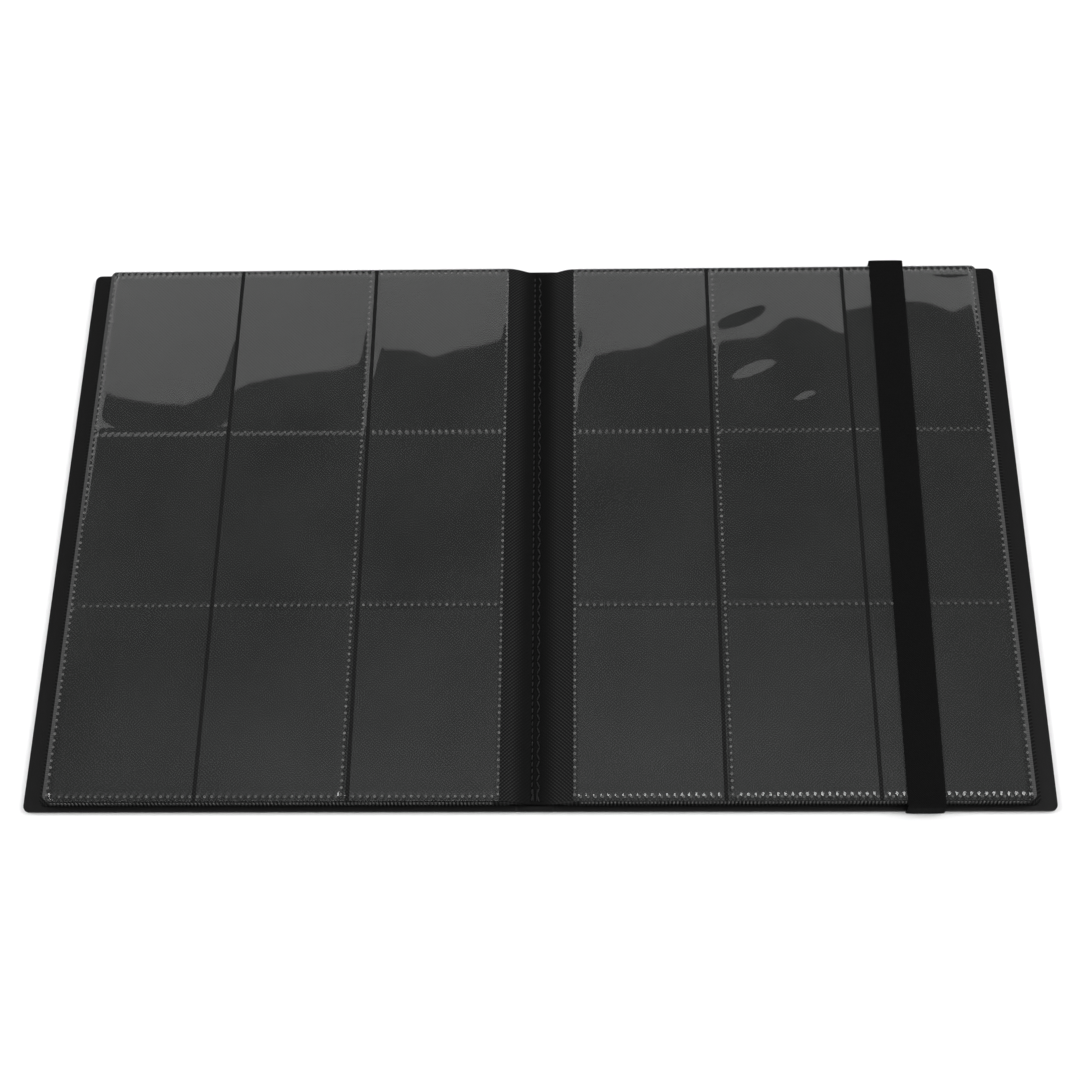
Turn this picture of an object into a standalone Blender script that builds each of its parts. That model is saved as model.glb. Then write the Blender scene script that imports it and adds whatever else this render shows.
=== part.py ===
"""Nine-pocket card album lying open at its middle, with an elastic strap round its back cover.

Metres, +Z up, +X towards the back cover's fore edge and +Y towards the head of the pages.
The album is open flat: front cover and left leaves at -X, back cover and right leaves at +X.
The origin is under the middle of the seam, at the height of the lowest point, the rivet heads.
"""

import math

import bmesh
import bpy
from mathutils import Vector

MM = 0.001
GAP = 0.3 * MM  # air left between neighbours that touch on the real album

# cover
COVER_REACH = 227.0 * MM  # seam to fore edge
COVER_HALF_HEIGHT = 143.5 * MM
COVER_THICKNESS = 1.0 * MM
CORNER_RADIUS = 3.0 * MM
CREASE_X = 8.1 * MM  # seam to the crease that each cover folds on
CREASE_CLEAR = 1.2 * MM  # from the crease to the edge of the panel on each side
LIVING_HINGE_THICKNESS = 0.3 * MM

# strap and rivets
STRAP_WIDTH = 16.8 * MM
STRAP_THICKNESS = 0.8 * MM
STRAP_HEAD_X = 172.5 * MM  # middle of the strap at the head edge
STRAP_FOOT_X = 169.3 * MM  # and at the foot edge: it lies slightly askew
STRAP_END_Y = 142.5 * MM  # where the flat runs meet the wraps
WRAP_OUTER_Y = 144.6 * MM
TAIL_LENGTH = 31.0 * MM
RIVET_INSET = 21.5 * MM  # from the end of the flat run to the rivet
RIVET_HEAD_RADIUS = 3.5 * MM
RIVET_HEAD_HEIGHT = 0.5 * MM
RIVET_SHANK_RADIUS = 1.5 * MM
RIVET_FLARE_RADIUS = 2.2 * MM

# heights, from the lowest point up
TAIL_BOTTOM = RIVET_HEAD_HEIGHT + GAP
COVER_BOTTOM = TAIL_BOTTOM + STRAP_THICKNESS + GAP
COVER_TOP = COVER_BOTTOM + COVER_THICKNESS
STACK_BOTTOM = COVER_TOP + GAP

# leaves
LEAF_COUNT = 10  # on each side
LEAF_THICKNESS = 0.3 * MM
LEAF_PITCH = LEAF_THICKNESS + GAP
FILM_THICKNESS = 0.12 * MM
LEAF_HALF_HEIGHT = 141.0 * MM
LEAF_INNER_X = 15.6 * MM
TOP_LEAF_REACH = 217.0 * MM
LEAF_CREEP = 3.0 * MM  # how far the lowest leaf reaches beyond the top one
FILM_COLUMNS = {
    "inner": (16.2 * MM, 81.8 * MM),
    "middle": (83.6 * MM, 149.2 * MM),
    "outer": (151.0 * MM, 216.7 * MM),
}

# gutter
GUTTER_OUTER_X = 15.0 * MM
SEAM_HALF_SLOT = 0.5 * MM
SEAM_TOP = 4.2 * MM
THREAD_HALF_WIDTH = 1.6 * MM
THREAD_STEM_HALF_WIDTH = 0.2 * MM
THREAD_THICKNESS = 0.3 * MM

# the turning leaf: its web swings about a pivot by the seam, and the leaf bends at the web's end
CREASE_Z = COVER_BOTTOM + COVER_THICKNESS / 2
PIVOT_X = 3.4 * MM
PIVOT_Z = 7.1 * MM
WEB_CLEAR = 0.5 * MM  # from the pivot to the strip's inner end
LEAF_HINGE_X = 15.3 * MM

ARC_STEPS = 6
CURVE_STEPS = 12
ROUND_STEPS = 24


def clear_scene():
    """Removes every object, so that the model starts from nothing."""
    for obj in list(bpy.data.objects):
        bpy.data.objects.remove(obj, do_unlink=True)


def make_material(name, color, roughness, metallic=0.0):
    material = bpy.data.materials.new(name)
    material.use_nodes = True
    shader = material.node_tree.nodes["Principled BSDF"]
    shader.inputs["Base Color"].default_value = (*color, 1.0)
    shader.inputs["Roughness"].default_value = roughness
    shader.inputs["Metallic"].default_value = metallic
    return material


def make_empty(name, location):
    """An empty on a joint's axis, which the moving pieces hang from."""
    empty = bpy.data.objects.new(name, None)
    empty.empty_display_size = 10 * MM
    empty.location = location
    bpy.context.collection.objects.link(empty)
    return empty


def add_object(name, bm, material, location=(0, 0, 0), parent=None):
    """Turns a bmesh given in world places into an object whose origin is at location."""
    bmesh.ops.recalc_face_normals(bm, faces=bm.faces)
    bmesh.ops.translate(bm, verts=bm.verts, vec=-Vector(location))
    mesh = bpy.data.meshes.new(name)
    bm.to_mesh(mesh)
    bm.free()
    mesh.materials.append(material)
    obj = bpy.data.objects.new(name, mesh)
    bpy.context.collection.objects.link(obj)
    obj.location = location
    if parent:
        obj.location = Vector(location) - parent.location
        obj.parent = parent
    return obj


def extrude_outline(points, offset):
    """A closed prism: the flat outline swept by offset."""
    bm = bmesh.new()
    face = bm.faces.new([bm.verts.new(p) for p in points])
    swept = bmesh.ops.extrude_face_region(bm, geom=[face])
    moved = [v for v in swept["geom"] if isinstance(v, bmesh.types.BMVert)]
    bmesh.ops.translate(bm, verts=moved, vec=offset)
    return bm


def page_outline(inner_x, outer_x, half_height, radius, z):
    """A sheet's outline with its two outer corners rounded. Works for either side of the seam."""
    side = math.copysign(1, outer_x)
    points = [Vector((inner_x, -half_height, z))]
    for sign in (-1, 1):
        centre = Vector((outer_x - side * radius, sign * (half_height - radius), z))
        for step in range(ARC_STEPS + 1):
            turn = step / ARC_STEPS * math.pi / 2
            if sign > 0:
                turn = math.pi / 2 - turn
            x = side * radius * math.sin(turn)
            y = sign * radius * math.cos(turn)
            points.append(centre + Vector((x, y, 0)))
    points.append(Vector((inner_x, half_height, z)))
    return points


def make_sheet(name, inner_x, outer_x, half_height, bottom, thickness, material, parent=None):
    points = page_outline(inner_x, outer_x, half_height, CORNER_RADIUS, bottom)
    bm = extrude_outline(points, Vector((0, 0, thickness)))
    location = parent.location if parent else (0, 0, 0)
    return add_object(name, bm, material, location, parent)


def profile_prism(name, profile, half_length, material, parent=None):
    """A prism along Y with a profile given as x, z pairs."""
    points = [Vector((x, -half_length, z)) for x, z in profile]
    bm = extrude_outline(points, Vector((0, 2 * half_length, 0)))
    location = parent.location if parent else (0, 0, 0)
    return add_object(name, bm, material, location, parent)


def turned(profile, centre):
    """A closed turned shape from radius, height pairs that start and end on the axis."""
    bm = bmesh.new()
    verts = [bm.verts.new((centre[0] + r, centre[1], z)) for r, z in profile]
    edges = [bm.edges.new(pair) for pair in zip(verts, verts[1:])]
    bmesh.ops.spin(
        bm,
        geom=verts + edges,
        cent=(*centre, 0),
        axis=(0, 0, 1),
        angle=2 * math.pi,
        steps=ROUND_STEPS,
    )
    bmesh.ops.remove_doubles(bm, verts=bm.verts, dist=0.001 * MM)
    return bm


def cut_hole(obj, profile, centre):
    """Cuts a turned hole through obj with a hidden cutter."""
    cutter = add_object(f"{obj.name}_cutter", turned(profile, centre), obj.data.materials[0])
    cutter.hide_render = True
    cutter.display_type = "WIRE"
    cutter.hide_set(True)
    boolean = obj.modifiers.new("rivet_hole", "BOOLEAN")
    boolean.operation = "DIFFERENCE"
    boolean.solver = "EXACT"
    boolean.object = cutter
    return cutter


def strap_middle(y):
    """The strap's middle line, which runs straight from its foot to its head."""
    share = (y + STRAP_END_Y) / (2 * STRAP_END_Y)
    return STRAP_FOOT_X + share * (STRAP_HEAD_X - STRAP_FOOT_X)


def strap_run(name, y_from, y_to, bottom, material, parent=None):
    """A flat straight run of the strap between two places along Y."""
    half = STRAP_WIDTH / 2
    points = []
    for y, side in ((y_from, -1), (y_from, 1), (y_to, 1), (y_to, -1)):
        points.append(Vector((strap_middle(y) + side * half, y, bottom)))
    bm = extrude_outline(points, Vector((0, 0, STRAP_THICKNESS)))
    location = parent.location if parent else (0, 0, 0)
    return add_object(name, bm, material, location, parent)


def strap_wrap(name, side, span_bottom, material, parent):
    """The strap's bend round the cover's head (side 1) or foot (side -1) edge."""
    low = TAIL_BOTTOM
    high = span_bottom + STRAP_THICKNESS
    start = STRAP_END_Y + GAP
    outer_radius = WRAP_OUTER_Y - start
    outline = []
    for radius, sweep in ((outer_radius, 1), (outer_radius - STRAP_THICKNESS, -1)):
        run = []
        for centre_z, first in ((low + outer_radius, -90), (high - outer_radius, 0)):
            for step in range(ARC_STEPS + 1):
                angle = math.radians(first + 90 * step / ARC_STEPS)
                y = start + radius * math.cos(angle)
                z = centre_z + radius * math.sin(angle)
                run.append((y, z))
        outline += run[::sweep]
    middle = strap_middle(side * STRAP_END_Y)
    left = middle - STRAP_WIDTH / 2
    points = [Vector((left, side * y, z)) for y, z in outline]
    bm = extrude_outline(points, Vector((STRAP_WIDTH, 0, 0)))
    return add_object(name, bm, material, parent.location, parent)


def gutter_bundle(name, side, top, material):
    """The inner strips of one side's leaves, from the seam up to the leaves, as one bundle."""
    profile = [(side * SEAM_HALF_SLOT, STACK_BOTTOM), (side * GUTTER_OUTER_X, STACK_BOTTOM)]
    for step in range(CURVE_STEPS + 1):
        share = 1 - step / CURVE_STEPS
        smooth = share * share * (3 - 2 * share)
        x = SEAM_HALF_SLOT + share * (GUTTER_OUTER_X - SEAM_HALF_SLOT)
        profile.append((side * x, SEAM_TOP + smooth * (top - SEAM_TOP)))
    return profile_prism(name, profile, LEAF_HALF_HEIGHT, material)


def add_films(prefix, side, bottom, material, parent):
    """The three clear strips that make one face's pockets."""
    for column, (inner, outer) in FILM_COLUMNS.items():
        radius = CORNER_RADIUS if column == "outer" else FILM_THICKNESS
        points = page_outline(side * inner, side * outer, LEAF_HALF_HEIGHT, radius, bottom)
        bm = extrude_outline(points, Vector((0, 0, FILM_THICKNESS)))
        add_object(f"{prefix}_{column}", bm, material, parent.location, parent)


def build_cover(material):
    """Front cover, spine panel, back cover and the two thin creases that join them."""
    inner_x = CREASE_X + CREASE_CLEAR
    panels = {}
    for name, side in (("front_cover", -1), ("back_cover", 1)):
        hinge = make_empty(f"{name}_axis", (side * CREASE_X, 0, CREASE_Z))
        panels[name] = make_sheet(
            name,
            side * inner_x,
            side * COVER_REACH,
            COVER_HALF_HEIGHT,
            COVER_BOTTOM,
            COVER_THICKNESS,
            material,
            hinge,
        )
    spine_edge = CREASE_X - CREASE_CLEAR
    spine = [
        (-spine_edge, COVER_BOTTOM),
        (spine_edge, COVER_BOTTOM),
        (spine_edge, COVER_TOP),
        (-spine_edge, COVER_TOP),
    ]
    profile_prism("spine_panel", spine, COVER_HALF_HEIGHT, material)
    strip_reach = CREASE_CLEAR - GAP
    low = CREASE_Z - LIVING_HINGE_THICKNESS / 2
    high = CREASE_Z + LIVING_HINGE_THICKNESS / 2
    for name, side in (("front_living_hinge", -1), ("back_living_hinge", 1)):
        near = side * CREASE_X - strip_reach
        far = side * CREASE_X + strip_reach
        strip = [(near, low), (far, low), (far, high), (near, high)]
        profile_prism(name, strip, COVER_HALF_HEIGHT, material)
    return panels


def build_leaves(web, film):
    """Both page stacks, and the top left leaf, which turns on its own."""
    stacks = {}
    for label, side in (("left", -1), ("right", 1)):
        axis = make_empty(f"{label}_pages_axis", (side * CREASE_X, 0, CREASE_Z))
        fixed = LEAF_COUNT - 1 if side < 0 else LEAF_COUNT
        for index in range(fixed):
            creep = LEAF_CREEP * (1 - index / (LEAF_COUNT - 1))
            make_sheet(
                f"{label}_leaf_{index + 1:02d}",
                side * LEAF_INNER_X,
                side * (TOP_LEAF_REACH + creep),
                LEAF_HALF_HEIGHT,
                STACK_BOTTOM + index * LEAF_PITCH,
                LEAF_THICKNESS,
                web,
                axis,
            )
        stack_top = STACK_BOTTOM + (fixed - 1) * LEAF_PITCH + LEAF_THICKNESS
        film_bottom = stack_top + GAP
        add_films(f"{label}_stack_film", side, film_bottom, film, axis)
        gutter_bundle(f"{label}_gutter_webs", side, stack_top, web)
        stacks[label] = film_bottom + FILM_THICKNESS

    under_film = stacks["left"] + GAP
    leaf_bottom = under_film + FILM_THICKNESS + GAP
    leaf_middle = leaf_bottom + LEAF_THICKNESS / 2
    hinge = make_empty("turning_leaf_axis", (-LEAF_HINGE_X, 0, leaf_middle))
    make_sheet(
        "turning_leaf",
        -LEAF_INNER_X,
        -TOP_LEAF_REACH,
        LEAF_HALF_HEIGHT,
        leaf_bottom,
        LEAF_THICKNESS,
        web,
        hinge,
    )
    add_films("turning_leaf_under_film", -1, under_film, film, hinge)
    add_films("turning_leaf_top_film", -1, leaf_bottom + LEAF_THICKNESS + GAP, film, hinge)
    build_turning_web(web, leaf_middle)
    return stacks["right"]


def build_turning_web(web, leaf_middle):
    """The top left leaf's inner strip: flat, and pointing from its pivot to the leaf's hinge."""
    pivot = make_empty("turning_web_axis", (-PIVOT_X, 0, PIVOT_Z))
    start = Vector((-PIVOT_X, PIVOT_Z))
    reach = Vector((-LEAF_HINGE_X, leaf_middle)) - start
    along = reach.normalized()
    across = Vector((-along.y, along.x)) * LEAF_THICKNESS / 2
    profile = []
    for distance, side in (
        (WEB_CLEAR, -1),
        (reach.length - GAP, -1),
        (reach.length - GAP, 1),
        (WEB_CLEAR, 1),
    ):
        profile.append(start + along * distance + across * side)
    profile_prism("turning_gutter_web", profile, LEAF_HALF_HEIGHT, web, pivot)


def build_seam(material):
    """The thread through the fold: a T, with its stem in the slot between the two bundles."""
    top = SEAM_TOP + GAP + THREAD_THICKNESS
    under = SEAM_TOP + GAP
    profile = [
        (-THREAD_STEM_HALF_WIDTH, STACK_BOTTOM),
        (THREAD_STEM_HALF_WIDTH, STACK_BOTTOM),
        (THREAD_STEM_HALF_WIDTH, under),
        (THREAD_HALF_WIDTH, under),
        (THREAD_HALF_WIDTH, top),
        (-THREAD_HALF_WIDTH, top),
        (-THREAD_HALF_WIDTH, under),
        (-THREAD_STEM_HALF_WIDTH, under),
    ]
    profile_prism("seam_thread", profile, LEAF_HALF_HEIGHT, material)


def build_strap(back_cover, film_top, elastic, metal):
    """The elastic: a front span over the pages, two wraps, two tails and their rivets."""
    span_bottom = film_top + GAP
    anchor = make_empty("strap_axis", (strap_middle(0), 0, span_bottom))
    strap_run("strap_front_span", -STRAP_END_Y, STRAP_END_Y, span_bottom, elastic, anchor)
    hinge = back_cover.parent
    hole_radius = RIVET_SHANK_RADIUS + GAP
    shank_end = COVER_TOP - GAP
    flare_start = COVER_TOP - 0.6 * MM
    rivet_profile = [
        (0, 0),
        (RIVET_HEAD_RADIUS - 0.25 * MM, 0),
        (RIVET_HEAD_RADIUS, 0.25 * MM),
        (RIVET_HEAD_RADIUS, RIVET_HEAD_HEIGHT),
        (RIVET_SHANK_RADIUS, RIVET_HEAD_HEIGHT),
        (RIVET_SHANK_RADIUS, flare_start),
        (RIVET_FLARE_RADIUS, shank_end),
        (0, shank_end),
    ]
    hole_profile = [
        (0, TAIL_BOTTOM - MM),
        (hole_radius, TAIL_BOTTOM - MM),
        (hole_radius, flare_start - GAP),
        (RIVET_FLARE_RADIUS + 2 * GAP, COVER_TOP + GAP),
        (0, COVER_TOP + GAP),
    ]
    for label, side in (("head", 1), ("foot", -1)):
        strap_wrap(f"strap_{label}_wrap", side, span_bottom, elastic, hinge)
        near = side * (STRAP_END_Y - TAIL_LENGTH)
        far = side * STRAP_END_Y
        tail_name = f"strap_{label}_tail"
        tail = strap_run(tail_name, min(near, far), max(near, far), TAIL_BOTTOM, elastic, hinge)
        rivet_y = side * (STRAP_END_Y - RIVET_INSET)
        centre = (strap_middle(rivet_y), rivet_y)
        rivet = add_object(
            f"strap_{label}_rivet",
            turned(rivet_profile, centre),
            metal,
            hinge.location,
            hinge,
        )
        rivet.data.shade_smooth()
        rivet.data.set_sharp_from_angle(angle=math.radians(35))
        cut_hole(tail, hole_profile, centre)
        cutter = tail.modifiers["rivet_hole"].object
        boolean = back_cover.modifiers.new(f"{label}_rivet_hole", "BOOLEAN")
        boolean.operation = "DIFFERENCE"
        boolean.solver = "EXACT"
        boolean.object = cutter


def main():
    clear_scene()
    cover_plastic = make_material("cover_plastic", (0.018, 0.018, 0.018), 0.55)
    web_plastic = make_material("web_plastic", (0.022, 0.022, 0.021), 0.6)
    clear_film = make_material("clear_film", (0.10, 0.10, 0.098), 0.08)
    elastic = make_material("elastic_weave", (0.012, 0.012, 0.012), 0.9)
    thread = make_material("seam_thread", (0.014, 0.014, 0.014), 0.8)
    rivet_metal = make_material("rivet_metal", (0.05, 0.05, 0.05), 0.35, 1.0)
    panels = build_cover(cover_plastic)
    right_top = build_leaves(web_plastic, clear_film)
    build_seam(thread)
    build_strap(panels["back_cover"], right_top, elastic, rivet_metal)


main()
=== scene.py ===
"""Looks of an open nine-pocket card album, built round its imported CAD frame. Metres, +Z up."""

import math
import random

import bmesh
import bpy
import numpy as np
from mathutils import Euler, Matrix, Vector


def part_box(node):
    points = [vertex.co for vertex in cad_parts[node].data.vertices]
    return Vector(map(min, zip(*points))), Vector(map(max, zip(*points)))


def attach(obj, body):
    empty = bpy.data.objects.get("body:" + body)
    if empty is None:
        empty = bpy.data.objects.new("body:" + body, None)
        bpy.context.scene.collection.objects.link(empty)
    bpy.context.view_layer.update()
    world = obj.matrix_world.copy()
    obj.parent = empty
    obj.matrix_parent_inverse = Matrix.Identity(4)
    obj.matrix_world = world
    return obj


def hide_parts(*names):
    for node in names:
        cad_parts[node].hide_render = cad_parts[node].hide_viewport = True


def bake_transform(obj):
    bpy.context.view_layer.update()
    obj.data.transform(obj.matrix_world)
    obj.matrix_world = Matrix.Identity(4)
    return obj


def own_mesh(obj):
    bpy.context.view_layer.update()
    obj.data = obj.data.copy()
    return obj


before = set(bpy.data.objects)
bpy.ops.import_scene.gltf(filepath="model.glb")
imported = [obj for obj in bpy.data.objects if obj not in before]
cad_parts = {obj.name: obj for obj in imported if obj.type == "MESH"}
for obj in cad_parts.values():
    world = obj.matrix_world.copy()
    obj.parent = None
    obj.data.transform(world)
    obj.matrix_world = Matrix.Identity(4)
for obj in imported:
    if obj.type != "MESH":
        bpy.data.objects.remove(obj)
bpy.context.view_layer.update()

MM = 0.001
SEED = 7
rng = random.Random(SEED)

# sizes taken over from the CAD part: lengths with MM are in metres, the others in mm
LEAF_HALF = 141.0 * MM
CORNER = 3.0 * MM
COLUMNS = {"inner": (16.2, 81.8), "middle": (83.6, 149.2), "outer": (151.0, 216.7)}
WELD_ROWS = (-139.0, -46.3, 46.3, 138.5)
WELD_COLUMNS = (16.8, 85.5, 215.0)
STITCH_PITCH = 3.2
TOP_LEAF_REACH = 217.0
LEAF_INNER = 15.6
STRAP_HALF_WIDTH = 8.4
STRAP_END_Y = 142.5
STRAP_THICKNESS = 0.8
STRAP_HEAD_X = 172.5
STRAP_FOOT_X = 169.3

# the embossed web, its threads and the stitches in it, in mm
WEB_PITCH = 1.7
MARGIN_PITCH = 0.9
SEAM_MIDDLE = -1.3  # where the seam crosses Y = 0
SEAM_LEAN = 0.6  # how far it leans from there to each end
SEAM_HALF_WIDTH = 1.3

# the pocket film, in mm
FILM_HALF_THICKNESS = 0.06
SLACK_REACH = 26.0  # how far the slack at a reflection's end reaches along Y
WELD_GROOVE = 0.22
WELD_COLUMN_GROOVE = 0.20
FINE_PITCH = 2.6  # grid of the two pages in view
COARSE_PITCH = 6.0  # grid of the hidden films

# the light panel beyond the head, as seen in the films of the top pockets
CAMERA_PLACE = Vector((0.0254, -0.429, 0.8071))
CAMERA_TURN = (27.555, 1.539, 0.463)
CAMERA_LENS = 64.35
PANEL_Y = 1.39
PANEL_TOP = 1.984  # its upper edge at X = 0
PANEL_TILT = -0.191  # how much the upper edge rises per metre along X
PANEL_FOOT = 1.15
PANEL_HALF_WIDTH = 1.8
PANEL_GLOW = 0.66
FILM_HEIGHT = 0.0098

# soft suns of the studio: name, turn in degrees, strength, width in degrees
SUNS = (
    ("key_left", (0, -42, 0), 1.3, 34),
    ("key_right", (0, 42, 0), 1.5, 34),
    ("key_front", (30, 0, 0), 1.0, 30),
    ("top_right", (-10.5, 10.5, 0), 0.25, 14),
)
FLOOR_HALF = 4.0


# ---------------------------------------------------------------- materials


def new_material(name):
    material = bpy.data.materials.new(name)
    material.use_nodes = True
    tree = material.node_tree
    tree.nodes.clear()
    output = tree.nodes.new("ShaderNodeOutputMaterial")
    return material, tree, output


def math_node(tree, operation, *values):
    node = tree.nodes.new("ShaderNodeMath")
    node.operation = operation
    for index, value in enumerate(values):
        if isinstance(value, (int, float)):
            node.inputs[index].default_value = value
        else:
            tree.links.new(value, node.inputs[index])
    return node.outputs[0]


def place_axes(tree):
    place = tree.nodes.new("ShaderNodeTexCoord")
    split = tree.nodes.new("ShaderNodeSeparateXYZ")
    tree.links.new(place.outputs["Object"], split.inputs[0])
    return place.outputs["Object"], split.outputs


def ribs(tree, socket, pitch):
    """A wave along a coordinate, from -1 to 1, with this pitch in metres."""
    return math_node(tree, "SINE", math_node(tree, "MULTIPLY", socket, 2 * math.pi / pitch))


def twill(tree, axes, pitch):
    """Raised dots on the pages, and ribs that make a V about the seam, from -1 to 1."""
    across = math_node(tree, "ABSOLUTE", axes[0])
    one = ribs(tree, math_node(tree, "ADD", across, axes[1]), pitch)
    other = ribs(tree, math_node(tree, "SUBTRACT", across, axes[1]), pitch)
    weight = spread(tree, across, 0.66, 0.5, 13 * MM, 18 * MM)
    strong = math_node(tree, "MULTIPLY", one, weight)
    weak = math_node(tree, "MULTIPLY", other, math_node(tree, "SUBTRACT", 1.0, weight))
    return math_node(tree, "ADD", strong, weak)


def noise(tree, place, size, detail=3.0):
    node = tree.nodes.new("ShaderNodeTexNoise")
    node.inputs["Scale"].default_value = 1 / size
    node.inputs["Detail"].default_value = detail
    tree.links.new(place, node.inputs["Vector"])
    return node.outputs["Fac"]


def ramp(tree, socket, low, high, stops=(0.0, 1.0)):
    """Colours between low and high as socket goes from one stop to the other."""
    node = tree.nodes.new("ShaderNodeValToRGB")
    for element, stop, color in zip(node.color_ramp.elements, stops, (low, high)):
        element.position = stop
        element.color = (*color, 1)
    tree.links.new(socket, node.inputs[0])
    return node.outputs["Color"]


def spread(tree, socket, low, high, start=0.0, end=1.0):
    node = tree.nodes.new("ShaderNodeMapRange")
    node.inputs["From Min"].default_value = start
    node.inputs["From Max"].default_value = end
    node.inputs["To Min"].default_value = low
    node.inputs["To Max"].default_value = high
    tree.links.new(socket, node.inputs["Value"])
    return node.outputs[0]


def bump(tree, socket, height):
    node = tree.nodes.new("ShaderNodeBump")
    node.inputs["Strength"].default_value = 1.0
    node.inputs["Distance"].default_value = height
    tree.links.new(socket, node.inputs["Height"])
    return node.outputs["Normal"]


def solid(name, color, rough, relief, relief_height, specular=0.5, metallic=0.0):
    """A material whose colour, roughness and relief are made by functions of the tree."""
    material, tree, output = new_material(name)
    shader = tree.nodes.new("ShaderNodeBsdfPrincipled")
    tree.links.new(shader.outputs[0], output.inputs["Surface"])
    place, axes = place_axes(tree)
    tree.links.new(color(tree, place, axes), shader.inputs["Base Color"])
    tree.links.new(rough(tree, place, axes), shader.inputs["Roughness"])
    normal = bump(tree, relief(tree, place, axes), relief_height)
    tree.links.new(normal, shader.inputs["Normal"])
    shader.inputs["Specular IOR Level"].default_value = specular
    shader.inputs["Metallic"].default_value = metallic
    return material


def cover_material():
    def color(tree, place, axes):
        grain = noise(tree, place, 0.5 * MM)
        return ramp(tree, grain, (0.0007, 0.0007, 0.0007), (0.004, 0.0039, 0.0039))

    def rough(tree, place, axes):
        return spread(tree, noise(tree, place, 1.2 * MM), 0.34, 0.46)

    def relief(tree, place, axes):
        return noise(tree, place, 0.45 * MM, 5)

    return solid("cover_polypropylene", color, rough, relief, 0.09 * MM, 0.2)


def web_material():
    def color(tree, place, axes):
        dots = spread(tree, twill(tree, axes, WEB_PITCH * MM), 0, 1, -1, 1)
        mixed = math_node(tree, "MULTIPLY", dots, spread(tree, noise(tree, place, 0.8 * MM), 0.75, 1.15))
        # painted shade: the colour falls to a tenth at the seam, standing in for the shade of the fold
        off_seam = math_node(tree, "ABSOLUTE", math_node(tree, "ADD", axes[0], -SEAM_MIDDLE * MM))
        seam_shade = spread(tree, off_seam, 0.1, 1.0, 1.5 * MM, 10 * MM)
        # the dots and mottle, darkened by the painted shade at the seam
        toned = math_node(tree, "MULTIPLY", mixed, seam_shade)
        return ramp(tree, toned, (0.0006, 0.0007, 0.0006), (0.028, 0.0284, 0.0282), (0.32, 1.0))

    def rough(tree, place, axes):
        return spread(tree, noise(tree, place, 6 * MM), 0.5, 0.62)

    def relief(tree, place, axes):
        return twill(tree, axes, WEB_PITCH * MM)

    return solid("embossed_web", color, rough, relief, 0.05 * MM, 0.1)


def margin_material():
    """The welded margin beyond the outer stitches, hatched across."""

    def color(tree, place, axes):
        lines = spread(tree, ribs(tree, axes[1], MARGIN_PITCH * MM), 0, 1, -1, 1)
        return ramp(tree, lines, (0.02, 0.02, 0.02), (0.055, 0.055, 0.054))

    def rough(tree, place, axes):
        return spread(tree, noise(tree, place, 2 * MM), 0.28, 0.42)

    def relief(tree, place, axes):
        return ribs(tree, axes[1], MARGIN_PITCH * MM)

    return solid("welded_margin", color, rough, relief, 0.06 * MM)


def weld_material():
    def color(tree, place, axes):
        # light grey: partly the welds' own milky whitening, partly a painted highlight for the small glints
        # of their domed dimples
        mottle = noise(tree, place, 1.3 * MM)
        return ramp(tree, mottle, (0.07, 0.07, 0.07), (0.24, 0.24, 0.235), (0.3, 0.7))

    def rough(tree, place, axes):
        return spread(tree, noise(tree, place, 0.7 * MM), 0.12, 0.3)

    def relief(tree, place, axes):
        return noise(tree, place, 0.3 * MM)

    return solid("weld_dimples", color, rough, relief, 0.02 * MM)


def elastic_material():
    def weave(tree, axes):
        cross = ribs(tree, axes[0], 0.75 * MM)
        along = ribs(tree, axes[1], 1.0 * MM)
        return math_node(tree, "MULTIPLY", cross, along)

    def color(tree, place, axes):
        level = spread(tree, weave(tree, axes), 0.2, 1, -1, 1)
        wear = spread(tree, noise(tree, place, 0.7 * MM), 0.6, 1.3)
        toned = math_node(tree, "MULTIPLY", level, wear)
        return ramp(tree, toned, (0.0008, 0.0008, 0.0008), (0.0085, 0.0085, 0.0085))

    def rough(tree, place, axes):
        return spread(tree, noise(tree, place, 0.6 * MM), 0.82, 0.98)

    def relief(tree, place, axes):
        return weave(tree, axes)

    return solid("woven_elastic", color, rough, relief, 0.12 * MM, 0.06)


def thread_material():
    def color(tree, place, axes):
        return ramp(tree, noise(tree, place, 0.25 * MM), (0.004, 0.004, 0.004), (0.014, 0.014, 0.014))

    def rough(tree, place, axes):
        return spread(tree, noise(tree, place, 0.3 * MM), 0.35, 0.55)

    def relief(tree, place, axes):
        twist = math_node(tree, "ADD", axes[0], axes[1])
        return ribs(tree, twist, 0.35 * MM)

    return solid("sewing_thread", color, rough, relief, 0.05 * MM)


def rivet_material():
    def color(tree, place, axes):
        return ramp(tree, noise(tree, place, 1.5 * MM), (0.02, 0.02, 0.02), (0.04, 0.04, 0.04))

    def rough(tree, place, axes):
        return spread(tree, noise(tree, place, 0.5 * MM), 0.28, 0.42)

    def relief(tree, place, axes):
        return noise(tree, place, 0.4 * MM)

    return solid("painted_rivet", color, rough, relief, 0.02 * MM, 0.5, 0.4)


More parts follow.
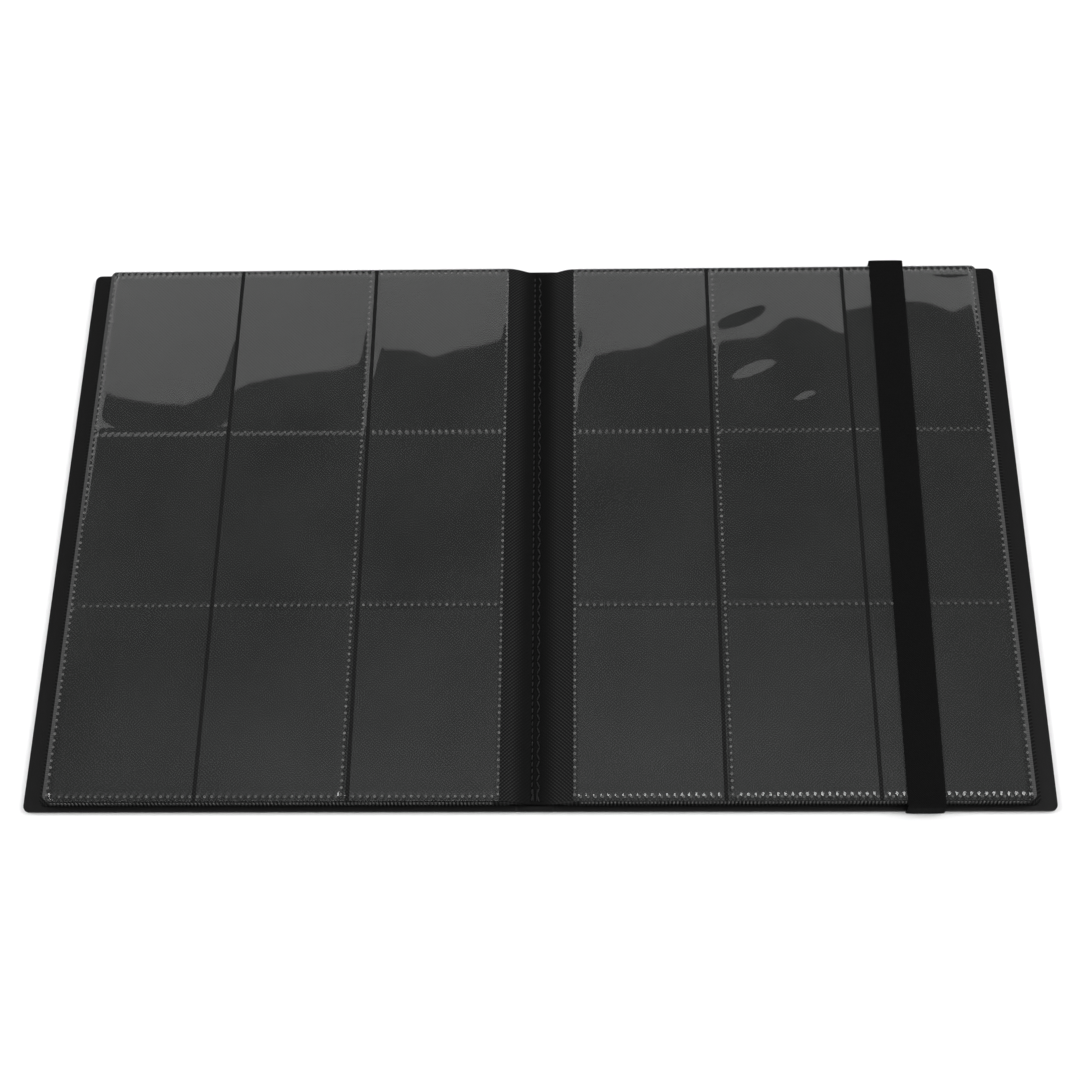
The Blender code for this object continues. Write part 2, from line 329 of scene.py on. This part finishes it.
def film_material():
    """Clear film: see-through, with a faint milky haze and a sharp reflection; the haze comes in broad
    patches that partly paint soft reflections.
    """
    material, tree, output = new_material("clear_film")
    place = place_axes(tree)[0]
    clear = tree.nodes.new("ShaderNodeBsdfTransparent")
    haze = tree.nodes.new("ShaderNodeBsdfDiffuse")
    gloss = tree.nodes.new("ShaderNodeBsdfGlossy")
    haze.inputs["Color"].default_value = (0.232, 0.243, 0.236, 1)
    gloss.inputs["Color"].default_value = (1, 1, 1, 1)
    gloss.inputs["Roughness"].default_value = 0.02
    body = tree.nodes.new("ShaderNodeMixShader")
    # partly painted reflection: the haze share varies in broad patches, standing in for faint cloudy
    # reflections over the real milky haze
    share = spread(tree, noise(tree, place, 45 * MM, 4), 0.016, 0.058)
    tree.links.new(share, body.inputs[0])
    tree.links.new(clear.outputs[0], body.inputs[1])
    tree.links.new(haze.outputs[0], body.inputs[2])
    fresnel = tree.nodes.new("ShaderNodeFresnel")
    fresnel.inputs["IOR"].default_value = 1.45
    skin = tree.nodes.new("ShaderNodeMixShader")
    tree.links.new(fresnel.outputs[0], skin.inputs[0])
    tree.links.new(body.outputs[0], skin.inputs[1])
    tree.links.new(gloss.outputs[0], skin.inputs[2])
    tree.links.new(skin.outputs[0], output.inputs["Surface"])
    return material


COVER = cover_material()
WEB = web_material()
MARGIN = margin_material()
WELD = weld_material()
ELASTIC = elastic_material()
THREAD = thread_material()
RIVET = rivet_material()
FILM = film_material()


# ---------------------------------------------------------------- mesh helpers


def make_object(name, verts, faces, material, smooth=True):
    """A mesh object, smooth except at edges sharper than 50 degrees."""
    mesh = bpy.data.meshes.new(name)
    mesh.from_pydata([tuple(v) for v in np.asarray(verts, float)], [], [tuple(f) for f in faces])
    mesh.materials.append(material)
    mesh.update()
    if smooth:
        mesh.shade_smooth()
        mesh.set_sharp_from_angle(angle=math.radians(50))
    obj = bpy.data.objects.new(name, mesh)
    bpy.context.scene.collection.objects.link(obj)
    return obj


def closed_grid(top, bottom):
    """Vertices and faces of the closed solid between two grids of points, rows by columns."""
    rows, columns = top.shape[:2]
    count = rows * columns
    verts = np.concatenate([top.reshape(-1, 3), bottom.reshape(-1, 3)])
    faces = []
    for i in range(rows - 1):
        for j in range(columns - 1):
            a = i * columns + j
            b = a + 1
            c = a + columns + 1
            d = a + columns
            faces.append((a, b, c, d))
            faces.append((d + count, c + count, b + count, a + count))
    rim = list(range(columns))
    rim += [i * columns + columns - 1 for i in range(1, rows)]
    rim += [(rows - 1) * columns + j for j in range(columns - 2, -1, -1)]
    rim += [i * columns for i in range(rows - 2, 0, -1)]
    for a, b in zip(rim, rim[1:] + rim[:1]):
        faces.append((b, a, a + count, b + count))
    return verts, faces


def outward(obj):
    """Turns every face of a closed mesh outward."""
    bm = bmesh.new()
    bm.from_mesh(obj.data)
    bmesh.ops.recalc_face_normals(bm, faces=bm.faces)
    bm.to_mesh(obj.data)
    bm.free()
    return obj


def grid_object(name, top, bottom, material):
    verts, faces = closed_grid(top, bottom)
    return outward(make_object(name, verts, faces, material))


def merged(name, parts, material):
    """One object from many small closed parts, each given as vertices and faces."""
    verts = []
    faces = []
    for part_verts, part_faces in parts:
        base = len(verts)
        verts.extend(part_verts)
        faces.extend(tuple(base + i for i in face) for face in part_faces)
    return outward(make_object(name, verts, faces, material))


def ring(centre, radius, tube, around=8, across=4, flat=1.0):
    """A small closed ring that lies flat."""
    verts = []
    faces = []
    for i in range(around):
        turn = 2 * math.pi * i / around
        for j in range(across):
            roll = 2 * math.pi * j / across
            reach = radius + tube * math.cos(roll)
            height = flat * tube * math.sin(roll)
            x = centre[0] + reach * math.cos(turn)
            y = centre[1] + reach * math.sin(turn)
            verts.append((x, y, centre[2] + height))
            a = i * across + j
            b = i * across + (j + 1) % across
            c = (i + 1) % around * across + (j + 1) % across
            d = (i + 1) % around * across + j
            faces.append((a, b, c, d))
    return verts, faces


def tube_along(points, radius, sides=6):
    """A closed round tube through points, with pinched ends."""
    verts = []
    faces = []
    last = len(points) - 1
    for i, point in enumerate(points):
        along = (points[min(i + 1, last)] - points[max(i - 1, 0)]).normalized()
        across = along.cross(Vector((0, 0, 1)))
        if across.length < 1e-6:
            across = Vector((1, 0, 0))
        across.normalize()
        up = across.cross(along)
        size = radius * (0.35 if i in (0, last) else 1.0)
        for j in range(sides):
            roll = 2 * math.pi * j / sides
            verts.append(tuple(point + size * (across * math.cos(roll) + up * math.sin(roll))))
    for i in range(last):
        for j in range(sides):
            a = i * sides + j
            b = i * sides + (j + 1) % sides
            faces.append((a, b, b + sides, a + sides))
    faces.append(tuple(range(sides))[::-1])
    faces.append(tuple(last * sides + j for j in range(sides)))
    return verts, faces


# ---------------------------------------------------------------- pocket film


def steps_near(low, high, pitch, places, reach, fine):
    """Places from low to high at this pitch, with fine steps near the given places."""
    found = set(np.round(np.linspace(low, high, int((high - low) / pitch) + 2), 3))
    for place in places:
        for offset in np.arange(-reach, reach + fine / 2, fine):
            if low < place + offset < high:
                found.add(round(place + offset, 3))
    found = sorted(found)
    kept = [found[0]]
    for value in found[1:-1]:
        if value - kept[-1] >= 0.6 * fine and high - value >= 0.6 * fine:
            kept.append(value)
    return np.array(kept + [found[-1]])


# where the panel's reflection ends on each top pocket: share across the strip from its outer
# edge on the left page, or from its inner edge on the right page, and the place along Y in mm
REFLECTION_ENDS = {
    ("left", "outer"): ((0, 76), (0.15, 68), (0.45, 62), (0.65, 61), (0.85, 67), (0.95, 80), (1, 95)),
    ("left", "middle"): ((0, 70), (0.1, 74), (0.4, 77), (0.75, 81), (0.92, 86), (1, 95)),
    ("left", "inner"): ((0, 76), (0.06, 94), (0.3, 92), (0.45, 87), (0.6, 91), (0.8, 94), (1, 99)),
    ("right", "inner"): ((0, 66), (0.06, 76), (0.15, 88), (0.3, 92), (0.55, 95), (0.75, 101), (1, 105)),
    ("right", "middle"): (
        (0, 95),
        (0.35, 98),
        (0.48, 104),
        (0.56, 110),
        (0.66, 112),
        (0.8, 110),
        (0.92, 104),
        (1, 102),
    ),
    ("right", "outer"): ((0, 115), (0.3, 119), (0.6, 117), (0.8, 112), (1, 120)),
}
# small bumps of the film, longer across than along, in mm: page side, x, y, radius, height
FILM_MARKS = (
    ("right", 100, 116, 4.6, 0.13),
    ("right", 103, 75, 5.5, 0.23),
    ("right", 128, 62, 3.2, 0.26),
)


def reflection_slope(x, y):
    """The slope along Y that shows the panel's upper edge to the camera, for a place in mm."""
    across = x * MM - CAMERA_PLACE.x
    along = y * MM - CAMERA_PLACE.y
    ahead = PANEL_Y - y * MM
    edge_z = PANEL_TOP + PANEL_TILT * (x * MM + across * ahead / along)
    to_edge = np.arctan2(edge_z - FILM_HEIGHT, ahead)
    return (to_edge - np.arctan2(CAMERA_PLACE.z - FILM_HEIGHT, along)) / 2


def smoothstep(t):
    t = np.clip(t, 0, 1)
    return t * t * (3 - 2 * t)


def film_height(side, column, x, y, marks):
    """How far the film stands from its flat place, in mm, for grids of x and y in mm.

    With marks, the top pockets get the slack and the bumps that end the panel's reflection.
    """
    inner, outer = COLUMNS[column]
    distance = np.abs(x)
    share = (distance - inner) / (outer - inner)
    height = np.zeros_like(x)
    seed = {"inner": 0.3, "middle": 1.7, "outer": 3.1}[column] + (0.9 if side == "left" else 0)
    height += 0.012 * np.sin(x / 11 + seed) * np.sin(y / 17 + 2 * seed)
    height += 0.02 * np.sin(x / 23 + 3 * seed) * np.cos(y / 29 + seed)
    if marks:
        across = 1 - share if side == "left" else share
        ends = REFLECTION_ENDS[(side, column)]
        end_y = np.interp(across, [e[0] for e in ends], [e[1] for e in ends])
        slopes = reflection_slope(x, end_y)
        low, high = WELD_ROWS[2], WELD_ROWS[3]
        window = smoothstep((y - low) / 10) * smoothstep((high - y) / 10)
        apart = (y - end_y) / SLACK_REACH
        height += slopes * (y - end_y) * np.exp(-(apart**2)) * window
        for mark_side, mark_x, mark_y, radius, rise in FILM_MARKS:
            if mark_side == side:
                apart = ((x - mark_x) / 2.5) ** 2 + (y - mark_y - 0.4 * (x - mark_x)) ** 2
                height += rise * np.exp(-apart / radius**2) * window
    stitches = (0.5 + 0.5 * np.cos(2 * math.pi * x / STITCH_PITCH)) ** 1.5
    for row in WELD_ROWS:
        height -= WELD_GROOVE * stitches * np.exp(-(((y - row) / 1.3) ** 2))
        height += 0.05 * np.exp(-(((y - row) / 3.2) ** 2))
    for weld in WELD_COLUMNS:
        height -= WELD_COLUMN_GROOVE * np.exp(-(((distance - weld) / 1.0) ** 2))
    return height


def reach_at(reach, y):
    """How far a sheet with rounded outer corners reaches at y, in mm."""
    over = np.abs(y) - (LEAF_HALF - CORNER) / MM
    corner = CORNER / MM
    cut = corner - np.sqrt(np.maximum(corner**2 - np.clip(over, 0, corner - 0.01) ** 2, 0))
    return reach - np.where(over > 0, cut, 0)


def film_strip(name, side, column, node, face, pitch, marks=False):
    """One strip of film in place of a CAD node. Face is 1 if it lies above its leaf, or -1."""
    sign = -1 if side == "left" else 1
    inner, outer = COLUMNS[column]
    low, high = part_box(node)
    half = LEAF_HALF / MM
    ys = steps_near(-half, half, pitch, WELD_ROWS, 4.0, 0.8)
    columns = [c for c in WELD_COLUMNS if inner < c < outer]
    ts = steps_near(inner, outer, STITCH_PITCH / 4 if marks else pitch, columns, 2.0, 0.5)
    shares = (ts - inner) / (outer - inner)
    grid_share, grid_y = np.meshgrid(shares, ys)
    limit = reach_at(outer, grid_y) if column == "outer" else outer
    distance = inner + grid_share * (limit - inner)
    grid_x = sign * distance
    height = face * film_height(side, column, grid_x, grid_y, marks)
    middle = (low.z + high.z) / 2 / MM
    skin = FILM_HALF_THICKNESS
    upper = np.stack([grid_x, grid_y, middle + height + skin], axis=-1) * MM
    lower = np.stack([grid_x, grid_y, middle + height - skin], axis=-1) * MM
    strip = grid_object(name, upper, lower, FILM)
    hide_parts(node)
    return strip


def weld_dots(name, side, surface, face, body):
    """The dimples along every weld of one page, merged."""
    sign = -1 if side == "left" else 1
    parts = []
    half = WELD_ROWS[3]
    for weld in WELD_COLUMNS:
        for step in np.arange(-half + 0.4, half, STITCH_PITCH):
            parts.append((sign * weld, step))
    for row in WELD_ROWS:
        for inner, outer in COLUMNS.values():
            for step in np.arange(max(inner, 18.5) + 0.9, min(outer, 213) - 0.5, STITCH_PITCH):
                if min(abs(step - weld) for weld in WELD_COLUMNS) > 1.5:
                    parts.append((sign * step, row))
    rings = []
    for x, y in parts:
        size = rng.uniform(0.38, 0.46)
        place = (x * MM, y * MM, (surface + face * 0.02) * MM)
        rings.append(ring(place, size * MM, 0.17 * MM, flat=0.7))
    dots = merged(name, rings, WELD)
    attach(dots, body)
    return dots


def margin_strip(name, side, surface, body):
    """The hatched margin between the outer weld and the leaf's edge."""
    sign = -1 if side == "left" else 1
    half = LEAF_HALF / MM - 0.2
    ys = steps_near(-half, half, 3.0, (-half, half), 3.2, 0.4)
    shares = np.linspace(0, 1, 5)
    grid_share, grid_y = np.meshgrid(shares, ys)
    outer = reach_at(TOP_LEAF_REACH - 0.1, grid_y)
    inner = np.minimum(WELD_COLUMNS[2] + 0.5, outer - 0.3)
    grid_x = sign * (inner + grid_share * (outer - inner))
    wave = 0.015 * np.sin(grid_y * 2 * math.pi / 5.3)
    upper = np.stack([grid_x, grid_y, surface + 0.03 + wave], axis=-1) * MM
    lower = np.stack([grid_x, grid_y, np.full_like(grid_x, surface - 0.10)], axis=-1) * MM
    margin = grid_object(name, upper, lower, MARGIN)
    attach(margin, body)
    return margin


def build_films():
    faces = (
        ("turning_leaf_top_film", "left", 1, "turning_leaf", FINE_PITCH, True),
        ("turning_leaf_under_film", "left", -1, "turning_leaf", COARSE_PITCH, False),
        ("left_stack_film", "left", 1, "left_pages", COARSE_PITCH, False),
        ("right_stack_film", "right", 1, "right_pages", FINE_PITCH, True),
    )
    for prefix, side, face, body, pitch, marks in faces:
        for column in COLUMNS:
            node = f"{prefix}_{column}"
            strip = film_strip(f"film_{node}", side, column, node, face, pitch, marks)
            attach(strip, body)
        low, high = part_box(f"{prefix}_outer")
        surface = (high.z if face > 0 else low.z) / MM
        weld_dots(f"welds_{prefix}", side, surface - face * 0.12, face, body)
        margin_strip(f"margin_{prefix}", side, surface + (0 if face > 0 else 0.06), body)


# ---------------------------------------------------------------- leaves and covers


def build_leaves():
    """The CAD leaves and covers stay, with their own look, and welds run along the foot edges."""
    for name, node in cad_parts.items():
        if "leaf" in name and "film" not in name:
            node.data.materials.clear()
            node.data.materials.append(WEB)
    for name in ("front_cover", "back_cover", "spine_panel"):
        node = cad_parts[name]
        node.data.materials.clear()
        node.data.materials.append(COVER)
    for label, sign, count in (("left", -1, 9), ("right", 1, 10)):
        rings = []
        for index in (count - 1, count - 2, count - 4):
            low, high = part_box(f"{label}_leaf_{index:02d}")
            reach = max(abs(low.x), abs(high.x)) / MM
            for x in np.arange(20.0, reach - 4, 1.6):
                place = (sign * x * MM, low.y + 0.12 * MM, (low.z + high.z) / 2)
                rings.append(ring(place, 0.3 * MM, 0.13 * MM, 6, 4, 1.0))
        edge = merged(f"edge_welds_{label}", rings, WELD)
        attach(edge, f"{label}_pages")


def crease(name, sign, nodes, cover):
    """One fold line of the cover sheet: full thickness at both sides, thin in the middle."""
    low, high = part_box("spine_panel")
    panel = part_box(cover)
    near = high.x
    far = panel[0].x if sign > 0 else -panel[1].x
    ys = np.linspace(low.y, high.y, 60)
    shares = np.linspace(0, 1, 15)
    grid_share, grid_y = np.meshgrid(shares, ys)
    thin = 0.33 * (1 - np.abs(2 * grid_share - 1) ** 3)
    grid_x = sign * (near + grid_share * (far - near))
    thickness = high.z - low.z
    upper = np.stack([grid_x, grid_y, high.z - thin * thickness], axis=-1)
    lower = np.stack([grid_x, grid_y, low.z + thin * thickness], axis=-1)
    strip = grid_object(name, upper, lower, COVER)
    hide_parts(*nodes)
    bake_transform(strip)


def build_covers():
    crease("front_crease", -1, ["front_living_hinge"], "front_cover")
    crease("back_crease", 1, ["back_living_hinge"], "back_cover")


# ---------------------------------------------------------------- gutter


def gutter_bundle(label, sign):
    """The inner strips of one side's leaves: a stack that falls away to the seam."""
    node = f"{label}_gutter_webs"
    low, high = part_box(node)
    half = LEAF_HALF
    ys = np.linspace(-half, half, 48)
    shares = np.linspace(0, 1, 33)
    grid_share, grid_y = np.meshgrid(shares, ys)
    inner = 0.25 * MM
    outer = LEAF_INNER * MM + 0.2 * MM
    fall = smoothstep((grid_share - 0.05) / 0.95)
    top_z = high.z - (0.05 * MM if sign < 0 else 0)
    foot_z = 4.55 * MM
    swell = 0.12 * MM * np.sin(grid_y / (31 * MM)) * np.sin(math.pi * grid_share)
    grid_x = sign * (inner + grid_share * (outer - inner))
    upper_z = foot_z + fall * (top_z - foot_z) + swell
    hollow = np.exp(-(((np.abs(grid_x) - 10 * MM) / (2.6 * MM)) ** 2))
    lower_z = low.z + 1.9 * MM * hollow  # room for the cover to fold up
    lower_z = np.minimum(lower_z, upper_z - 0.5 * MM)
    upper = np.stack([grid_x, grid_y, upper_z], axis=-1)
    lower = np.stack([grid_x, grid_y, lower_z], axis=-1)
    bundle = grid_object(f"gutter_{label}", upper, lower, WEB)
    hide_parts(node)
    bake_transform(bundle)


def web_curve(name, sign, first, last, body, replaced=None, thickness=0.28):
    """A leaf's inner strip on its way between two places given as x and z in mm."""
    half = LEAF_HALF
    ys = np.linspace(-half, half, 48)
    shares = np.linspace(0, 1, 21)
    grid_share, grid_y = np.meshgrid(shares, ys)
    rise = smoothstep(0.12 + 0.88 * grid_share)
    start = smoothstep(np.float64(0.12))
    rise = (rise - start) / (1 - start)
    grid_x = sign * (first[0] + grid_share * (last[0] - first[0])) * MM
    swell = 0.10 * np.sin(grid_y / (37 * MM)) * np.sin(math.pi * grid_share)
    middle = first[1] + rise * (last[1] - first[1]) + swell
    upper = np.stack([grid_x, grid_y, (middle + thickness / 2) * MM], axis=-1)
    lower = np.stack([grid_x, grid_y, (middle - thickness / 2) * MM], axis=-1)
    strip = grid_object(name, upper, lower, WEB)
    if replaced:
        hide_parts(replaced)
    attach(strip, body)
    return strip


def build_gutter():
    gutter_bundle("left", -1)
    gutter_bundle("right", 1)
    leaf_low, leaf_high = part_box("turning_leaf")
    leaf_end = (LEAF_INNER + 0.15, (leaf_low.z + leaf_high.z) / 2 / MM)
    seam_end = (2.6, 5.2)
    web = web_curve("turning_web", -1, seam_end, leaf_end, "turning_web", "turning_gutter_web")
    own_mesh(web)


def build_seam():
    """Two columns of stitches: short ones on the left, and a zig-zag on the right."""
    half = LEAF_HALF / MM - 1
    parts = []
    count = int(2 * half / STITCH_PITCH)
    height = 5.28

    def seam_x(y):
        return SEAM_MIDDLE - SEAM_LEAN * (y / half)

    for index in range(count):
        y = -half + (index + 0.5) * STITCH_PITCH
        left = seam_x(y) - SEAM_HALF_WIDTH
        right = seam_x(y) + SEAM_HALF_WIDTH
        short = [(left - 0.1, y - 1.1, height), (left, y, height + 0.22), (left + 0.1, y + 1.1, height)]
        lean = 0.55 if index % 2 else -0.55
        zig = [(right - lean, y - 1.4, height), (right, y, height + 0.22), (right + lean, y + 1.4, height)]
        for points in (short, zig):
            first, top, last = (Vector(point) for point in points)
            crown = Vector((0, 0, 0.08))
            smooth = [first, (first + top) / 2 + crown, top, (top + last) / 2 + crown, last]
            parts.append(tube_along([p * MM for p in smooth], 0.31 * MM))
    for shift in (-0.9, 0.9):
        y = -half
        points = [Vector((seam_x(y) + shift, y + 6.0, height))]
        points.append(Vector((seam_x(y) + shift, y + 3, height + 0.3)))
        points.append(Vector((seam_x(y) + shift * 0.8, y + 0.4, height)))
        parts.append(tube_along([p * MM for p in points], 0.3 * MM))
    seam = merged("seam_stitches", parts, THREAD)
    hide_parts("seam_thread")
    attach(seam, "spine")
    ys = np.linspace(-LEAF_HALF, LEAF_HALF, 60)
    shares = np.linspace(-1, 1, 13)
    grid_share, grid_y = np.meshgrid(shares, ys)
    grid_x = seam_x(grid_y / MM) * MM + 2.6 * MM * grid_share
    bed = 4.62 * MM + 0.3 * MM * np.cos(grid_share * math.pi / 2) ** 2
    upper = np.stack([grid_x, grid_y, bed + 0.14 * MM], axis=-1)
    lower = np.stack([grid_x, grid_y, bed - 0.5 * MM], axis=-1)
    fold = grid_object("seam_fold", upper, lower, WEB)
    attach(fold, "spine")


# ---------------------------------------------------------------- strap


def strap_middle(y):
    share = (y + STRAP_END_Y) / (2 * STRAP_END_Y)
    return STRAP_FOOT_X + share * (STRAP_HEAD_X - STRAP_FOOT_X)


def ribbed_band(name, path, normals, lengths, node, middle=None):
    """A woven band along a path of y and z in mm, with cross ribs and notched edges."""
    columns = 25
    shares = np.linspace(-1, 1, columns)
    upper = np.zeros((len(path), columns, 3))
    lower = np.zeros_like(upper)
    for i, ((y, z), (ny, nz), length) in enumerate(zip(path, normals, lengths)):
        wave = math.cos(2 * math.pi * length / 1.0)
        centre = middle if middle is not None else strap_middle(y)
        edge = STRAP_HALF_WIDTH - 0.13 + 0.12 * wave
        for j, share in enumerate(shares):
            profile = 1 - abs(share) ** 6
            warp = 0.03 * math.cos(share * math.pi * 10)
            half = 0.14 + (0.5 * STRAP_THICKNESS - 0.19) * profile + 0.05 * wave + warp * profile
            x = centre + share * edge
            upper[i, j] = (x, y + ny * half, z + nz * half)
            lower[i, j] = (x, y - ny * half, z - nz * half)
    band = grid_object(name, upper * MM, lower * MM, ELASTIC)
    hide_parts(node)
    return band


def flat_band(name, node, y_from, y_to):
    low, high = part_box(node)
    z = (low.z + high.z) / 2 / MM
    ys = np.arange(y_from, y_to + 0.01, 0.25)
    path = [(y, z) for y in ys]
    return ribbed_band(name, path, [(0, 1)] * len(ys), list(ys), node)


def build_strap():
    span = flat_band("strap_span", "strap_front_span", -STRAP_END_Y - 0.2, STRAP_END_Y + 0.2)
    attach(span, "strap")
    span_low, span_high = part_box("strap_front_span")
    for label, side in (("head", 1), ("foot", -1)):
        low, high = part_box(f"strap_{label}_tail")
        ends = sorted((side * (STRAP_END_Y + 0.2), side * (STRAP_END_Y - 31.0)))
        tail = flat_band(f"tail_{label}", f"strap_{label}_tail", *ends)
        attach(tail, "back_cover")
        bottom = (low.z + high.z) / 2 / MM
        top = (span_low.z + span_high.z) / 2 / MM
        wrap_low, wrap_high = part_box(f"strap_{label}_wrap")
        outer = max(abs(wrap_low.y), abs(wrap_high.y)) / MM
        radius = outer - STRAP_END_Y - 0.3 - STRAP_THICKNESS / 2
        start = STRAP_END_Y + 0.1
        path = []
        normals = []
        for centre_z, first in ((bottom + radius, -90), (top - radius, 0)):
            for step in range(19):
                angle = math.radians(first + 90 * step / 18)
                reach = radius + 0.2
                path.append((side * (start + reach * math.cos(angle)), centre_z + radius * math.sin(angle)))
                normals.append((side * math.cos(angle), math.sin(angle)))
            if first < 0:
                for rise in np.linspace(bottom + radius, top - radius, 24)[1:-1]:
                    path.append((side * (start + radius + 0.2), rise))
                    normals.append((side, 0))
        lengths = [0.0]
        for (y0, z0), (y1, z1) in zip(path, path[1:]):
            lengths.append(lengths[-1] + math.hypot(y1 - y0, z1 - z0))
        middle = strap_middle(side * STRAP_END_Y)
        wrap = ribbed_band(f"wrap_{label}", path, normals, lengths, f"strap_{label}_wrap", middle)
        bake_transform(wrap)
        node = f"strap_{label}_rivet"
        low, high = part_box(node)
        centre = ((low.x + high.x) / 2, (low.y + high.y) / 2)
        rivet = domed_rivet(f"rivet_{label}", centre, low.z, high.z)
        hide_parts(node)
        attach(rivet, "back_cover")


def domed_rivet(name, centre, low, high):
    """A rivet with a domed head below and a flared end above."""
    profile = []
    for step in range(9):
        turn = math.pi / 2 * step / 8
        profile.append((3.5 * MM * math.sin(turn), low + 0.5 * MM * (1 - math.cos(turn))))
    profile += [(3.5 * MM, low + 0.55 * MM), (3.3 * MM, low + 0.62 * MM), (1.5 * MM, low + 0.62 * MM)]
    profile += [(1.5 * MM, high - 0.4 * MM), (2.1 * MM, high - 0.12 * MM), (2.0 * MM, high), (0, high)]
    around = 40
    verts = [(centre[0], centre[1], profile[0][1])]
    faces = []
    rings = profile[1:-1]
    for radius, z in rings:
        for step in range(around):
            turn = 2 * math.pi * step / around
            verts.append((centre[0] + radius * math.cos(turn), centre[1] + radius * math.sin(turn), z))
    verts.append((centre[0], centre[1], profile[-1][1]))
    for step in range(around):
        after = (step + 1) % around
        faces.append((0, 1 + after, 1 + step))
        for k in range(len(rings) - 1):
            a = 1 + k * around + step
            b = 1 + k * around + after
            faces.append((a, b, b + around, a + around))
        base = 1 + (len(rings) - 1) * around
        faces.append((base + step, base + after, len(verts) - 1))
    return outward(make_object(name, verts, faces, RIVET))


# ---------------------------------------------------------------- studio


def emission(name, color, strength):
    material, tree, output = new_material(name)
    light = tree.nodes.new("ShaderNodeEmission")
    light.inputs["Color"].default_value = (*color, 1)
    light.inputs["Strength"].default_value = strength
    tree.links.new(light.outputs[0], output.inputs["Surface"])
    return material


def build_studio():
    scene = bpy.context.scene
    floor_material, tree, output = new_material("studio_floor")
    shader = tree.nodes.new("ShaderNodeBsdfDiffuse")
    shader.inputs["Color"].default_value = (0.93, 0.93, 0.93, 1)
    tree.links.new(shader.outputs[0], output.inputs["Surface"])
    size = FLOOR_HALF
    verts = [(-size, -size, 0), (size, -size, 0), (size, size, 0), (-size, size, 0)]
    floor = make_object("floor", verts, [(0, 1, 2, 3)], floor_material, False)
    half = PANEL_HALF_WIDTH
    verts = [
        (-half, PANEL_Y, PANEL_TOP - PANEL_TILT * half),
        (half, PANEL_Y, PANEL_TOP + PANEL_TILT * half),
        (half, PANEL_Y, PANEL_FOOT),
        (-half, PANEL_Y, PANEL_FOOT),
    ]
    glow = emission("panel_glow", (1, 1, 1), PANEL_GLOW)
    panel = make_object("light_panel", verts, [(0, 1, 2, 3)], glow, False)
    for name, turn, energy, angle in SUNS:
        light = bpy.data.lights.new(name, "SUN")
        light.energy = energy
        light.angle = math.radians(angle)
        lamp = bpy.data.objects.new(name, light)
        lamp.rotation_euler = Euler([math.radians(a) for a in turn])
        scene.collection.objects.link(lamp)
    world = bpy.data.worlds.new("studio")
    world.use_nodes = True
    tree = world.node_tree
    background = tree.nodes["Background"]
    way = tree.nodes.new("ShaderNodeTexCoord")
    split = tree.nodes.new("ShaderNodeSeparateXYZ")
    tree.links.new(way.outputs["Generated"], split.inputs[0])
    overhead = spread(tree, split.outputs[2], 0.05, 0.42, 0.885, 0.965)
    background.inputs["Color"].default_value = (0.97, 0.98, 1, 1)
    backdrop = spread(tree, split.outputs[2], 0.0, 1.0, 0.32, 0.12)
    tree.links.new(math_node(tree, "ADD", overhead, backdrop), background.inputs["Strength"])
    scene.world = world
    data = bpy.data.cameras.new("camera")
    data.lens = CAMERA_LENS
    data.sensor_width = 36
    data.clip_start = 0.01
    camera = bpy.data.objects.new("camera", data)
    camera.location = CAMERA_PLACE
    camera.rotation_euler = Euler([math.radians(a) for a in CAMERA_TURN])
    scene.collection.objects.link(camera)
    scene.camera = camera
    scene.view_settings.view_transform = "Standard"


build_leaves()
build_covers()
build_films()
build_gutter()
build_seam()
build_strap()
build_studio()
